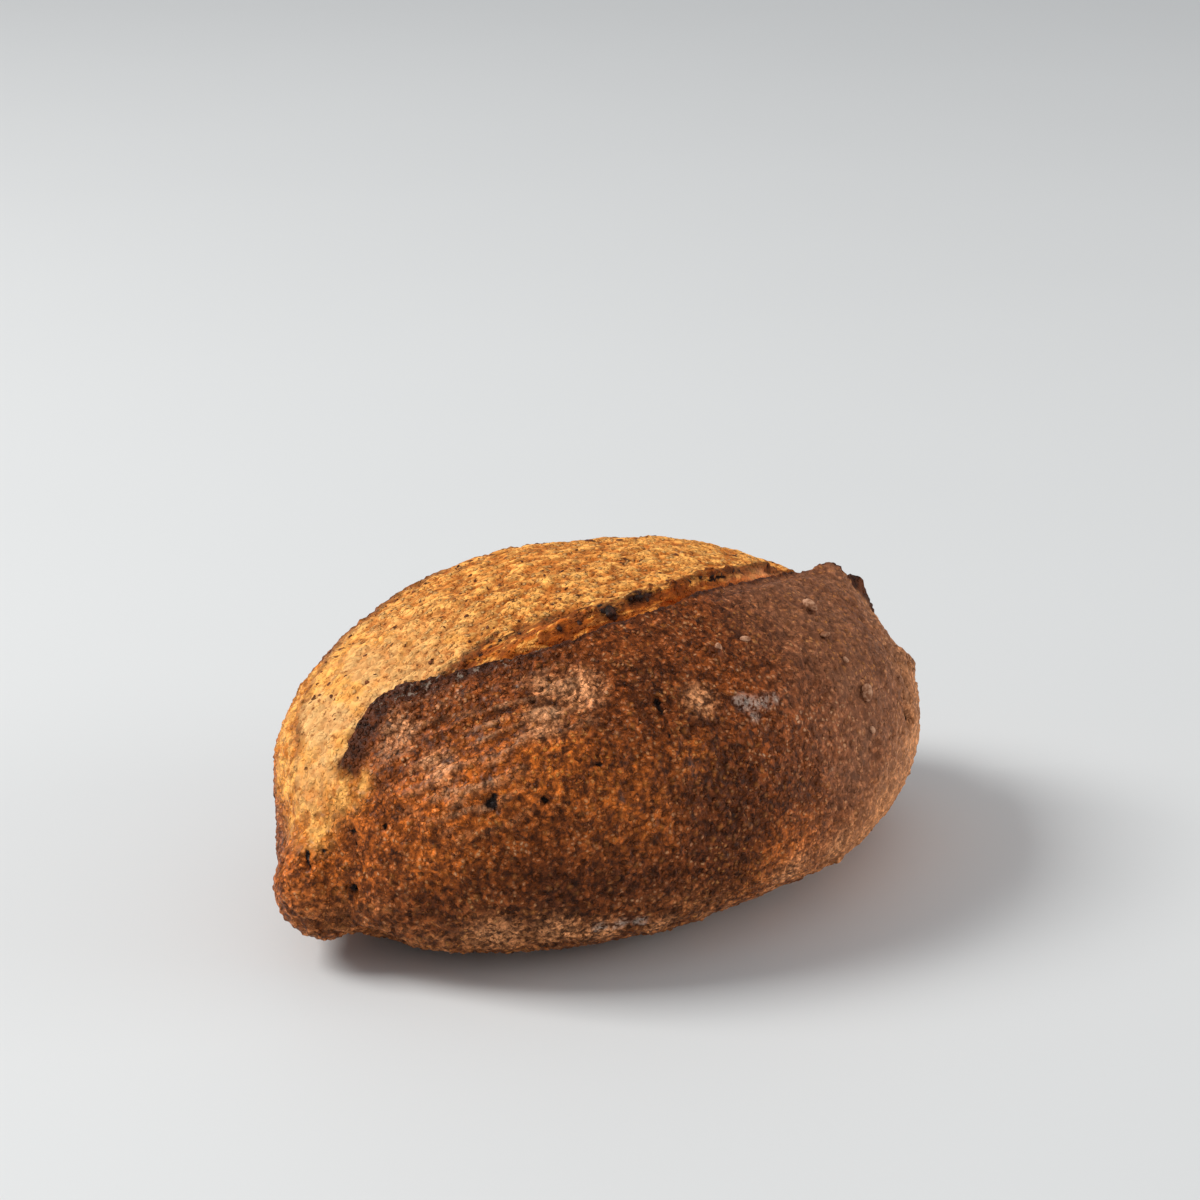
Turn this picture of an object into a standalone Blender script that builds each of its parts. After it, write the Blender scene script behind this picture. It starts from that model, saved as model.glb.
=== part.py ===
"""Sourdough loaf: a plump oval hearth loaf, slashed once from end to end.

The slash has opened into a lens-shaped bloom. On the -Y side its edge stands up as a thin burnt ear,
with a strip of torn crumb and a crisp ridge of crags behind it. The -X end is drawn into a small hooked nose.
Metres, +Z up, +X along the loaf away from the nose, with the origin at the middle of the base.
"""
import math
import random

import bmesh
import bpy
from mathutils import Matrix, Vector, noise
from mathutils.bvhtree import BVHTree

# The loaf as a whole
LENGTH = 0.260
WIDTH = 0.178
HEIGHT = 0.1100
WIDEST_AT = 0.395 * HEIGHT      # height of the widest line
BODY_NOSE_GAP = 0.011           # how far the nose reaches past the body proper
PLAN_POWER = 1.9                # 2 is an ellipse in plan, less is more pointed
BASE_CURL_NOSE = 0.32           # how early the underside lifts towards the nose
BASE_CURL_FAR = 0.26            # and towards the other end
CROWN_POWER = 2.45              # squareness of the upper half of a slice
CROWN_POWER_FAR = 2.0           # and of the last slices at the far end
BELLY_POWER = 2.7               # squareness of the lower half of a slice
BASE_SINK = 0.0012              # the rounded base is cut off this far up, which leaves the flat foot

# The hooked nose
NOSE_LENGTH = 0.025
NOSE_HALF_WIDTH = 0.0160
NOSE_HALF_HEIGHT = 0.0215
NOSE_HEIGHT = 0.0285            # of its middle above the table
NOSE_UNION = 9.0                # sharpness of the crease between nose and body
NOSE_SIDE = 0.001

# Rings along the loaf and points round each ring
RINGS = 70
RING_CROWDING = 0.45            # 1 crowds the rings towards the ends as on a sphere, 0 spaces them evenly
CRUST_POINTS = 36               # base to ear, on the ear's side
BLOOM_POINTS = 27               # behind the torn strip, over the top and down to the base

# How the ear and what lies behind it run along the loaf, as (x, size) in metres
OPENING = [(-0.110, 0.0), (-0.103, 1.0), (0.117, 1.0), (0.126, 0.0)]
EAR_LINE = [(-0.112, -0.007), (-0.104, -0.005), (-0.094, -0.004), (-0.078, -0.015), (-0.042, -0.037),
            (-0.005, -0.041), (0.045, -0.031), (0.080, -0.019), (0.108, -0.013), (0.125, -0.011)]
EAR_RISE = [(-0.110, 0.0), (-0.104, 0.0048), (-0.094, 0.0058), (-0.080, 0.0036), (-0.066, 0.0036),
            (-0.055, 0.0042), (0.000, 0.0034), (0.045, 0.0038), (0.085, 0.0055), (0.0985, 0.0100),
            (0.1045, 0.0086), (0.1105, 0.0122), (0.117, 0.0138), (0.126, 0.0)]
EAR_OVERHANG = [(-0.107, 0.0), (-0.098, 0.0050), (-0.070, 0.0035), (0.000, 0.0018), (0.060, 0.0022),
                (0.108, 0.0045), (0.126, 0.0)]
STRIP_WIDTH = [(-0.112, 0.0040), (-0.080, 0.0045), (-0.058, 0.0080), (-0.030, 0.0090), (0.010, 0.0080),
               (0.060, 0.0065), (0.095, 0.0050), (0.122, 0.0040)]
GROOVE_DEPTH = [(-0.110, 0.0), (-0.100, 0.0030), (-0.070, 0.0028), (0.000, 0.0022), (0.060, 0.0026),
                (0.104, 0.0035), (0.123, 0.0)]
RIDGE_RISE = [(-0.112, 0.0), (-0.074, 0.0), (-0.050, 0.0016), (0.000, 0.0026), (0.055, 0.0022),
              (0.090, 0.0), (0.122, 0.0)]
FAR_EDGE = [(-0.122, 0.005), (-0.105, 0.025), (-0.090, 0.038), (-0.070, 0.048), (0.000, 0.057),
            (0.060, 0.043), (0.100, 0.018), (0.122, 0.000)]

EAR_SWEEP = 0.034               # how far down the crust the upward sweep of the ear starts
EAR_THICKNESS = 0.0026
STRIP_START = 0.0016            # from the back of the ear to the torn strip
RIDGE_POINT = 11                # which point of the torn profile is the top of the ridge
FAR_EDGE_STEP = 0.0014
ZONE_AT_GIRTH = 0.200           # slices smaller round than this have their ear scaled down

# Unevenness
SWELL = 0.0016
SWELL_SCALE = 0.045
LUMPS = 0.0006
LUMPS_SCALE = 0.014
CRAGS = 0.0013
CRAGS_SCALE = 0.0045

# Crumbs on the ridge and whole kernels in the crust
GRAIN_SEED = 7
CRUMB_COUNT = 11
CRUMB_STRETCH = (-0.046, 0.074)
CRUMB_LENGTH = (0.0034, 0.0068)
KERNELS = [(0.055, 0.0966, 0.0054), (0.059, 0.0727, 0.0066), (0.001, 0.0979, 0.0048), (0.052, 0.0908, 0.0034),
           (0.106, 0.0620, 0.0060), (0.014, 0.0975, 0.0036)]     # (x, height, length)

# Folds and swellings of the two gathered ends, as (x, y, z, radius, height)
SWELLINGS = [
    (0.117, -0.034, 0.050, 0.012, 0.0020),      # gathered end, upper lobe
    (0.117, -0.040, 0.036, 0.012, 0.0030),      # gathered end, lower lobe
    (0.113, -0.046, 0.047, 0.006, -0.0022),     # crack between the lobes
    (0.121, -0.021, 0.071, 0.015, -0.0088),     # hollow under the ear's far end
    (0.078, 0.002, 0.096, 0.026, -0.0020),      # the bloom sinks towards its far end
    (-0.110, -0.020, 0.009, 0.009, -0.0085),    # fold under the nose
    (-0.110, -0.019, 0.028, 0.007, -0.0025),    # fold beside the nose
    (-0.112, 0.022, 0.046, 0.013, -0.0065),     # neck on the nose's other side
]


def smooth_step(low, high, x):
    t = min(1.0, max(0.0, (x - low) / (high - low)))
    return t * t * (3 - 2 * t)


def along(table, x):
    """Smooth curve through the table's points, which never overshoots them."""
    if x <= table[0][0]:
        return table[0][1]
    if x >= table[-1][0]:
        return table[-1][1]
    slopes = [(b[1] - a[1]) / (b[0] - a[0]) for a, b in zip(table, table[1:])]
    bends = [slopes[0]]
    for before, after in zip(slopes, slopes[1:]):
        bends.append(0.0 if before * after <= 0 else 2 * before * after / (before + after))
    bends.append(slopes[-1])
    i = next(k for k in range(len(slopes)) if x <= table[k + 1][0])
    step = table[i + 1][0] - table[i][0]
    t = (x - table[i][0]) / step
    return (
        (2 * t**3 - 3 * t**2 + 1) * table[i][1]
        + (t**3 - 2 * t**2 + t) * step * bends[i]
        + (3 * t**2 - 2 * t**3) * table[i + 1][1]
        + (t**3 - t**2) * step * bends[i + 1]
    )


def joined(a, b):
    """The larger of two sizes, blended where they are alike."""
    return (max(a, 0.0) ** NOSE_UNION + max(b, 0.0) ** NOSE_UNION) ** (1 / NOSE_UNION)


def slice_sizes(x):
    """Half width, middle height, rise above it and drop below it of the slice at x, before the ear is raised."""
    body_middle = BODY_NOSE_GAP / 2
    body_half = (LENGTH - BODY_NOSE_GAP) / 2
    t = min(1.0, abs(x - body_middle) / body_half)
    full = math.sqrt(max(0.0, 1 - t**PLAN_POWER))
    nose_middle = NOSE_LENGTH - LENGTH / 2
    away = min(1.0, abs(x - nose_middle) / NOSE_LENGTH)
    nose = math.sqrt(max(0.0, 1 - away**2))
    middle = NOSE_HEIGHT + (WIDEST_AT - NOSE_HEIGHT) * smooth_step(-0.118, -0.098, x)
    shift = WIDEST_AT - middle
    present = smooth_step(body_middle - body_half, body_middle - body_half + 0.004, x)
    half_width = joined(WIDTH / 2 * full, NOSE_HALF_WIDTH * nose)
    rise = joined((shift + (HEIGHT - WIDEST_AT) * full) * present, NOSE_HALF_HEIGHT * nose)
    curl = BASE_CURL_NOSE if x < body_middle else BASE_CURL_FAR
    drop = joined(((WIDEST_AT + BASE_SINK) * full**curl - shift) * present, NOSE_HALF_HEIGHT * nose)
    return half_width, middle, rise, drop


def slice_outline(x, steps=240):
    """The smooth slice at x, as closed (y, z) points from the base round by the ear's side."""
    half_width, middle, rise, drop = slice_sizes(x)
    side = NOSE_SIDE * (1 - smooth_step(-0.118, -0.090, x))
    crown_power = CROWN_POWER + (CROWN_POWER_FAR - CROWN_POWER) * smooth_step(0.070, 0.122, x)
    points = []
    for i in range(steps):
        turn = 2 * math.pi * i / steps
        across, up = math.sin(turn), -math.cos(turn)
        power = crown_power if up > 0 else BELLY_POWER
        height = rise if up > 0 else drop
        y = side - half_width * math.copysign(abs(across) ** (2 / power), across)
        z = middle + height * math.copysign(abs(up) ** (2 / power), up)
        points.append((y, z))
    return points


class Girth:
    """Walks round a slice by distance, and gives the point and its outward direction there."""

    def __init__(self, points):
        self.points = points + points[:1]
        self.reached = [0.0]
        for a, b in zip(self.points, self.points[1:]):
            self.reached.append(self.reached[-1] + math.dist(a, b))
        self.total = self.reached[-1]

    def at(self, distance):
        distance %= self.total
        low, high = 0, len(self.reached) - 1
        while high - low > 1:
            mid = (low + high) // 2
            if self.reached[mid] <= distance:
                low = mid
            else:
                high = mid
        a, b = self.points[low], self.points[high]
        t = (distance - self.reached[low]) / max(1e-9, self.reached[high] - self.reached[low])
        return a[0] + (b[0] - a[0]) * t, a[1] + (b[1] - a[1]) * t

    def outward(self, distance):
        reach = self.total / 60
        y0, z0 = self.at(distance - reach)
        y1, z1 = self.at(distance + reach)
        size = math.hypot(y1 - y0, z1 - z0)
        return (z0 - z1) / size, (y1 - y0) / size

    def crossing(self, y):
        """Distance at which the upper side passes over y."""
        for i in range(len(self.points) // 4, 3 * len(self.points) // 4):
            a, b = self.points[i], self.points[i + 1]
            if a[0] <= y <= b[0]:
                return self.reached[i] + (y - a[0]) / max(1e-9, b[0] - a[0]) * (self.reached[i + 1] - self.reached[i])
        return self.total / 2


def torn_profile(x):
    """The ear's edge and what lies behind it, as (distance past the ear, height) points."""
    opened = along(OPENING, x)
    closed = STRIP_START * (1 - opened)
    rise = along(EAR_RISE, x) * (1 + 0.16 * noise.noise(Vector((x / 0.007, 3.1, 0))))
    over = along(EAR_OVERHANG, x)
    width = along(STRIP_WIDTH, x) * (1 + 0.15 * noise.noise(Vector((x / 0.012, 7.7, 0))))
    groove = along(GROOVE_DEPTH, x)
    ridge = along(RIDGE_RISE, x) * (1 + 0.5 * noise.noise(Vector((x / 0.008, 1.3, 0))))
    return [
        (0.0, rise),
        (0.5 * EAR_THICKNESS, rise + 0.0003 * opened),
        (EAR_THICKNESS, rise - 0.0006 * opened),
        (EAR_THICKNESS - 0.45 * over + 0.3 * closed, 0.60 * rise - 0.0008 * opened),
        (EAR_THICKNESS - 0.70 * over + 0.0004 + 0.2 * closed, 0.25 * rise - 0.0006 * opened - 0.4 * groove),
        (EAR_THICKNESS - 0.30 * over + 0.0008 + 0.1 * closed, -groove),
        (EAR_THICKNESS + STRIP_START + 0.10 * width, -1.1 * groove),
        (EAR_THICKNESS + STRIP_START + 0.28 * width, -0.85 * groove),
        (EAR_THICKNESS + STRIP_START + 0.46 * width, -0.50 * groove),
        (EAR_THICKNESS + STRIP_START + 0.64 * width, -0.25 * groove + 0.25 * ridge),
        (EAR_THICKNESS + STRIP_START + 0.82 * width, 0.65 * ridge),
        (EAR_THICKNESS + 0.0018 + 1.00 * width, ridge),
        (EAR_THICKNESS + 0.0030 + 1.08 * width, 0.55 * ridge),
        (EAR_THICKNESS + 0.0055 + 1.12 * width, 0.10 * ridge - 0.0003 * opened),
    ]


def ring_place(number):
    """Where along the loaf a ring stands, from 0 at the tip of the nose."""
    share = number / RINGS
    return LENGTH / 2 * ((1 - RING_CROWDING) * (2 * share - 1) - RING_CROWDING * math.cos(math.pi * share))


def unevenness(point, craggy):
    """How far the crust stands proud of the smooth form at this point, more roughly where it is torn."""
    height = SWELL * noise.noise(point / SWELL_SCALE) + LUMPS * noise.noise(point / LUMPS_SCALE)
    height += craggy * CRAGS * noise.noise(point / CRAGS_SCALE)
    for x, y, z, radius, rise in SWELLINGS:
        height += rise * math.exp(-((point - Vector((x, y, z))).length / radius) ** 2)
    return height


def ring_of(x):
    """All the points of the loaf's ring at x, each lifted off the smooth slice and made uneven."""
    girth = Girth(slice_outline(x))
    ear = girth.crossing(along(EAR_LINE, x))
    scale = min(1.0, girth.total / ZONE_AT_GIRTH)
    torn = [(d * scale, h * scale) for d, h in torn_profile(x)]
    rise = torn[0][1]
    sweep = EAR_SWEEP * scale
    ring = []

    def add_point(distance, height, craggy=0.0):
        spot = Vector((x, *girth.at(distance)))
        out = Vector((0, *girth.outward(distance)))
        ring.append(spot + out * (height + unevenness(spot + out * height, craggy)))

    for i in range(CRUST_POINTS):
        share = i / CRUST_POINTS
        distance = ear * (0.72 * share + 0.28 * (1 - (1 - share) ** 2))
        near = max(0.0, 1 - (ear - distance) / sweep)
        add_point(distance, rise * near**2)
    for distance, height in torn:
        add_point(ear + distance, height, smooth_step(0.0035, 0.0060, distance) * along(OPENING, x))
    start = ear + torn[-1][0]
    far_edge = girth.crossing(along(FAR_EDGE, x))
    for i in range(1, BLOOM_POINTS + 1):
        share = i / (BLOOM_POINTS + 1)
        distance = start + (girth.total - start) * (0.75 * share + 0.25 * share**2)
        step = FAR_EDGE_STEP * scale * smooth_step(far_edge - 0.004, far_edge + 0.003, distance)
        step *= 1 - smooth_step(far_edge + 0.010, far_edge + 0.040, distance)
        add_point(distance, step)
    return ring


def add_loaf(collection, material):
    """A sphere with its poles at the two ends, each ring of which is set to the loaf's slice there."""
    around = CRUST_POINTS + len(torn_profile(0.0)) + BLOOM_POINTS
    form = bmesh.new()
    bmesh.ops.create_uvsphere(form, u_segments=around, v_segments=RINGS, radius=1.0)
    rings = {}
    for vert in form.verts:
        rings.setdefault(round(math.acos(max(-1, min(1, vert.co.z))) / math.pi * RINGS), []).append(vert)
    for number, verts in rings.items():
        x = ring_place(number)
        if len(verts) == 1:
            verts[0].co = (x, NOSE_SIDE if x < 0 else 0.0, slice_sizes(x)[1])
            continue
        verts.sort(key=lambda v: math.atan2(v.co.y, v.co.x))
        for vert, spot in zip(verts, ring_of(x)):
            vert.co = spot
    for vert in form.verts:
        vert.co.z = max(0.0, vert.co.z - BASE_SINK / 2)
    stand_on_middle(form)
    mesh = bpy.data.meshes.new("loaf")
    form.to_mesh(mesh)
    form.free()
    mesh.materials.append(material)
    mesh.shade_smooth()
    loaf = bpy.data.objects.new("loaf", mesh)
    collection.objects.link(loaf)
    return loaf


def add_grain(collection, place, normal, length, turn, material):
    """A small faceted lump, longer than wide, lying along the surface."""
    form = bmesh.new()
    bmesh.ops.create_uvsphere(form, u_segments=6, v_segments=4, radius=0.5)
    for vert in form.verts:
        vert.co *= 1 + 0.22 * noise.noise(vert.co * 1.7 + place * 900)
    lie = normal.to_track_quat("X", "Z").to_matrix().to_4x4() @ Matrix.Rotation(turn, 4, "X")
    size = Matrix.Diagonal((0.62 * length, 0.66 * length, length, 1.0))
    bmesh.ops.transform(form, matrix=Matrix.Translation(place) @ lie @ size, verts=form.verts)
    mesh = bpy.data.meshes.new("grain")
    form.to_mesh(mesh)
    form.free()
    mesh.materials.append(material)
    collection.objects.link(bpy.data.objects.new("grain", mesh))


def add_grains(loaf, collection, material):
    """Crumbs standing on the ridge and kernels baked into the crust on the ear's side."""
    draw = random.Random(GRAIN_SEED)
    skin = BVHTree.FromPolygons([v.co for v in loaf.data.vertices], [p.vertices for p in loaf.data.polygons])
    low, high = CRUMB_STRETCH
    for i in range(CRUMB_COUNT):
        x = low + (high - low) * (i + draw.random()) / CRUMB_COUNT
        ridge = ring_of(x)[CRUST_POINTS + RIDGE_POINT]
        place, normal = skin.find_nearest(ridge)[:2]
        add_grain(collection, place, normal, draw.uniform(*CRUMB_LENGTH), draw.uniform(0, math.pi), material)
    for x, height, length in KERNELS:
        place, normal = skin.ray_cast(Vector((x, -WIDTH, height)), Vector((0, 1, 0)))[:2]
        add_grain(collection, place, normal, length, draw.uniform(0, math.pi), material)


def fuse(loaf, grains):
    """Joins the grains to the loaf as one body, and removes the loose ones."""
    union = loaf.modifiers.new("grains", "BOOLEAN")
    union.operation = "UNION"
    union.operand_type = "COLLECTION"
    union.collection = grains
    union.solver = "EXACT"
    bpy.context.view_layer.objects.active = loaf
    bpy.ops.object.modifier_apply(modifier=union.name)
    for grain in list(grains.objects):
        bpy.data.objects.remove(grain)
    bpy.data.collections.remove(grains)


def stand_on_middle(form):
    """Moves the form so that its box is centred over the origin and its foot is at the height of the table."""
    low = [min(v.co[i] for v in form.verts) for i in range(3)]
    high = [max(v.co[i] for v in form.verts) for i in range(3)]
    middle = Vector(((low[0] + high[0]) / 2, (low[1] + high[1]) / 2, low[2]))
    bmesh.ops.transform(form, matrix=Matrix.Translation(-middle), verts=form.verts)


def crust_material():
    material = bpy.data.materials.new("crust")
    material.use_nodes = True
    shader = material.node_tree.nodes["Principled BSDF"]
    shader.inputs["Base Color"].default_value = (0.17, 0.062, 0.022, 1.0)
    shader.inputs["Roughness"].default_value = 0.6
    shader.inputs["Metallic"].default_value = 0.0
    return material


def main():
    for old in list(bpy.data.objects):
        bpy.data.objects.remove(old)
    collection = bpy.data.collections.new("sourdough_loaf")
    bpy.context.scene.collection.children.link(collection)
    material = crust_material()
    loaf = add_loaf(collection, material)
    grains = bpy.data.collections.new("grains")
    bpy.context.scene.collection.children.link(grains)
    add_grains(loaf, grains, material)
    fuse(loaf, grains)


main()
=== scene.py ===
import math
import random

import bpy
import numpy as np
from mathutils import Matrix, Vector, noise
from mathutils.bvhtree import BVHTree


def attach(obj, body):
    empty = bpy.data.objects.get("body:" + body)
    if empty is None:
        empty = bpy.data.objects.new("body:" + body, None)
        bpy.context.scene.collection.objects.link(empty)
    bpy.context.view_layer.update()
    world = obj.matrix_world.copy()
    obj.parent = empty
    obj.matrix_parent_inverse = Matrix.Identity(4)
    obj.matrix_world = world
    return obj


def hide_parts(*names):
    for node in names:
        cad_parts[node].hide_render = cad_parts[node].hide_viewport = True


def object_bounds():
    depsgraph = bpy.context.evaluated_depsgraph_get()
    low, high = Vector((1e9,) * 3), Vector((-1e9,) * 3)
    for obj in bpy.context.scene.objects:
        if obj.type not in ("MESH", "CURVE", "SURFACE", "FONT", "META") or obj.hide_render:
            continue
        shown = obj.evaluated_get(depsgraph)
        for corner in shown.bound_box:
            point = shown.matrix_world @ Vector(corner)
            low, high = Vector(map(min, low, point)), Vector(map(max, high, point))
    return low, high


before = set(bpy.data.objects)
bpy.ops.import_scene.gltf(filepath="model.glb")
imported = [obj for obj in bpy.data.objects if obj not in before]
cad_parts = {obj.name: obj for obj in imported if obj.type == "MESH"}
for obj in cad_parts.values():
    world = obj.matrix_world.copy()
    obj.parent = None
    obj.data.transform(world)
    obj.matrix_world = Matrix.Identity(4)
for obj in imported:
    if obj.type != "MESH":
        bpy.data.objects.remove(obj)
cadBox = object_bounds()
print("frame loaded")

# lines along the loaf, the same ones that the solid is built on, as (x, y, z) in metres
earCrest = [(-0.116, -0.0060, 0.0514), (-0.112, -0.0058, 0.0637), (-0.108, -0.0047, 0.0712),
            (-0.104, -0.0039, 0.0786), (-0.098, -0.0031, 0.0847), (-0.092, -0.0032, 0.0894),
            (-0.084, -0.0090, 0.0931), (-0.074, -0.0169, 0.0966), (-0.060, -0.0276, 0.1013),
            (-0.042, -0.0369, 0.1051), (-0.020, -0.0401, 0.1082), (0.000, -0.0406, 0.1091),
            (0.020, -0.0372, 0.1095), (0.045, -0.0304, 0.1070), (0.065, -0.0233, 0.1027),
            (0.082, -0.0177, 0.0978), (0.096, -0.0151, 0.0961), (0.108, -0.0133, 0.0884),
            (0.116, -0.0132, 0.0838), (0.121, -0.0116, 0.0713), (0.126, -0.0096, 0.0559)]
grooveLine = [(-0.116, -0.0039, 0.0520), (-0.112, -0.0028, 0.0639), (-0.108, -0.0013, 0.0687),
              (-0.104, -0.0004, 0.0711), (-0.098, 0.0003, 0.0752), (-0.092, 0.0002, 0.0798),
              (-0.084, -0.0053, 0.0851), (-0.074, -0.0129, 0.0900), (-0.060, -0.0228, 0.0942),
              (-0.042, -0.0316, 0.0986), (-0.020, -0.0349, 0.1024), (0.000, -0.0355, 0.1040),
              (0.020, -0.0322, 0.1036), (0.045, -0.0257, 0.1004), (0.065, -0.0189, 0.0954),
              (0.082, -0.0134, 0.0887), (0.096, -0.0101, 0.0818), (0.108, -0.0078, 0.0739),
              (0.116, -0.0069, 0.0681), (0.121, -0.0065, 0.0635), (0.126, -0.0075, 0.0568)]
ridgeLine = [(-0.116, -0.0014, 0.0524), (-0.112, 0.0008, 0.0640), (-0.108, 0.0025, 0.0694),
             (-0.104, 0.0034, 0.0737), (-0.098, 0.0041, 0.0788), (-0.092, 0.0038, 0.0827),
             (-0.084, -0.0011, 0.0888), (-0.074, -0.0085, 0.0937), (-0.060, -0.0165, 0.0998),
             (-0.042, -0.0250, 0.1049), (-0.020, -0.0280, 0.1090), (0.000, -0.0286, 0.1105),
             (0.020, -0.0261, 0.1107), (0.045, -0.0200, 0.1061), (0.065, -0.0138, 0.1004),
             (0.082, -0.0088, 0.0922), (0.096, -0.0059, 0.0862), (0.108, -0.0042, 0.0781),
             (0.116, -0.0035, 0.0704), (0.121, -0.0032, 0.0650), (0.126, -0.0051, 0.0576)]
# where the torn strip meets the bloom, more ragged than the ridge of the solid
tornEdge = [(-0.0900, -0.0010, 0.0848), (-0.0840, -0.0070, 0.0890), (-0.0760, -0.0118, 0.0930),
            (-0.0689, -0.0129, 0.0955), (-0.0637, -0.0131, 0.0984), (-0.0580, -0.0121, 0.0995),
            (-0.0531, -0.0122, 0.1011), (-0.0488, -0.0137, 0.1023), (-0.0394, -0.0151, 0.1045),
            (-0.0297, -0.0213, 0.1061), (-0.0211, -0.0270, 0.1084), (-0.0126, -0.0285, 0.1095),
            (0.0000, -0.0286, 0.1105), (0.0200, -0.0261, 0.1107), (0.0450, -0.0200, 0.1061),
            (0.0650, -0.0138, 0.1004), (0.0820, -0.0088, 0.0922), (0.1000, -0.0055, 0.0840)]
# the lower edge of the slash on the far side
farEdge = [(-0.116, 0.0123, 0.0498), (-0.112, 0.0172, 0.0607), (-0.108, 0.0218, 0.0654),
           (-0.104, 0.0260, 0.0691), (-0.098, 0.0317, 0.0732), (-0.092, 0.0366, 0.0762),
           (-0.084, 0.0417, 0.0797), (-0.074, 0.0468, 0.0835), (-0.060, 0.0500, 0.0890),
           (-0.042, 0.0532, 0.0939), (-0.020, 0.0560, 0.0975), (0.000, 0.0570, 0.0990),
           (0.020, 0.0548, 0.0995), (0.045, 0.0480, 0.0984), (0.065, 0.0410, 0.0953),
           (0.082, 0.0309, 0.0912), (0.096, 0.0208, 0.0857), (0.108, 0.0118, 0.0789),
           (0.116, 0.0050, 0.0726), (0.121, 0.0008, 0.0671), (0.126, 0.0000, 0.0592)]


def onlySelect(piece):
    bpy.ops.object.select_all(action="DESELECT")
    piece.select_set(True)
    bpy.context.view_layer.objects.active = piece


def finishModifier(piece, kind, **settings):
    onlySelect(piece)
    step = piece.modifiers.new(kind.lower(), kind)
    for key, value in settings.items():
        setattr(step, key, value)
    bpy.ops.object.modifier_apply(modifier=step.name)


def spots(piece):
    co = np.empty(len(piece.data.vertices) * 3)
    piece.data.vertices.foreach_get("co", co)
    return co.reshape(-1, 3)


def outwards(piece):
    out = np.empty(len(piece.data.vertices) * 3)
    piece.data.vertex_normals.foreach_get("vector", out)
    return out.reshape(-1, 3)


def moveSpots(piece, co):
    piece.data.vertices.foreach_set("co", co.ravel())
    piece.data.update()


def eased(low, high, v):
    # 0 below low, 1 above high, eased
    t = np.clip((v - low) / (high - low), 0, 1)
    return t * t * (3 - 2 * t)


def stretch(x, start, full, fade, end):
    # 0 before start, 1 from full to fade, 0 after end
    return eased(start, full, x) * (1 - eased(fade, end, x))


def lineAt(line, x):
    table = np.array(line)
    return np.interp(x, table[:, 0], table[:, 1]), np.interp(x, table[:, 0], table[:, 2])


def nearLine(line, co, steps=420):
    # distance of every spot from a line
    x = np.linspace(line[0][0], line[-1][0], steps)
    y, z = lineAt(line, x)
    best = np.full(len(co), 1.0)
    for part in np.array_split(np.arange(len(co)), max(1, len(co) // 4000)):
        apart = co[part][:, None, :] - np.stack([x, y, z], 1)[None]
        best[part] = np.sqrt((apart**2).sum(2).min(1))
    return best


def cloud(co, size, shift=0.0):
    # soft noise from -1 to 1, size is the width of its lumps
    return np.array([noise.noise(place) for place in co / size + shift])


def nearSpots(co, places, core=0.0):
    # 1 at each of the places (x, y, z, reach) and over its core, falling to 0 at its reach
    found = np.zeros(len(co))
    for x, y, z, reach in places:
        apart = np.sqrt(((co - np.array((x, y, z))) ** 2).sum(1))
        found = np.maximum(found, 1 - eased(core * reach, reach, apart))
    return found


def setGroup(piece, name, weight, steps=24):
    group = piece.vertex_groups.new(name=name)
    level = np.round(np.clip(weight, 0, 1) * steps).astype(int)
    for step in range(1, steps + 1):
        members = np.nonzero(level == step)[0]
        if len(members):
            group.add(members.tolist(), step / steps, "REPLACE")


def setMark(piece, name, value):
    mark = piece.data.attributes.get(name) or piece.data.attributes.new(name, "FLOAT", "POINT")
    mark.data.foreach_set("value", np.clip(value, 0, 1).astype(np.float32))


# camera, where the photograph was taken from
cameraSetup = {
    "turn": -40.0, "height": 20.2, "distance": 1.051, "aside": -0.0018, "aim": (0.0055, 0.0, 0.0977),
    "field": 22.0,
}


def addCamera(setup):
    turn, height = math.radians(setup["turn"]), math.radians(setup["height"])
    back = Vector((math.sin(turn) * math.cos(height), -math.cos(turn) * math.cos(height), math.sin(height)))
    right = Vector((math.cos(turn), math.sin(turn), 0))
    camera = bpy.data.objects.new("camera", bpy.data.cameras.new("camera"))
    bpy.context.scene.collection.objects.link(camera)
    camera.data.sensor_width = 36
    camera.data.lens = 18 / math.tan(math.radians(setup["field"] / 2))
    camera.data.clip_start, camera.data.clip_end = 0.01, 50
    camera.location = right * setup["aside"] + Vector(setup["aim"]) + back * setup["distance"]
    camera.rotation_mode = "QUATERNION"
    camera.rotation_quaternion = (-back).to_track_quat("-Z", "Y")
    bpy.context.scene.camera = camera


addCamera(cameraSetup)

# light: one soft window from the left and behind, and the room's own light
lightSetup = {
    "window": {"from": (-1.50, 1.35, 2.10), "power": 74.0, "size": 1.25, "colour": (1.0, 0.985, 0.96)},
    "room": {"from": (1.55, -1.45, 0.50), "power": 17.0, "size": 1.2, "colour": (1.0, 0.98, 0.95)},
    "sky": {"colour": (0.95, 0.97, 1.0), "strength": 0.44},
}


def addLights(setup):
    for name in ("window", "room"):
        own = setup[name]
        lamp = bpy.data.lights.new(name, "AREA")
        lamp.energy, lamp.size, lamp.color = own["power"], own["size"], own["colour"]
        holder = bpy.data.objects.new(name, lamp)
        bpy.context.scene.collection.objects.link(holder)
        holder.location = own["from"]
        holder.rotation_mode = "QUATERNION"
        holder.rotation_quaternion = Vector(own["from"]).to_track_quat("Z", "Y")
    world = bpy.data.worlds.new("room")
    bpy.context.scene.world = world
    world.use_nodes = True
    sky = world.node_tree.nodes["Background"]
    sky.inputs["Color"].default_value = (*setup["sky"]["colour"], 1)
    sky.inputs["Strength"].default_value = setup["sky"]["strength"]
    bpy.context.scene.view_settings.view_transform = "Standard"


addLights(lightSetup)
print("camera and light")


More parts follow.
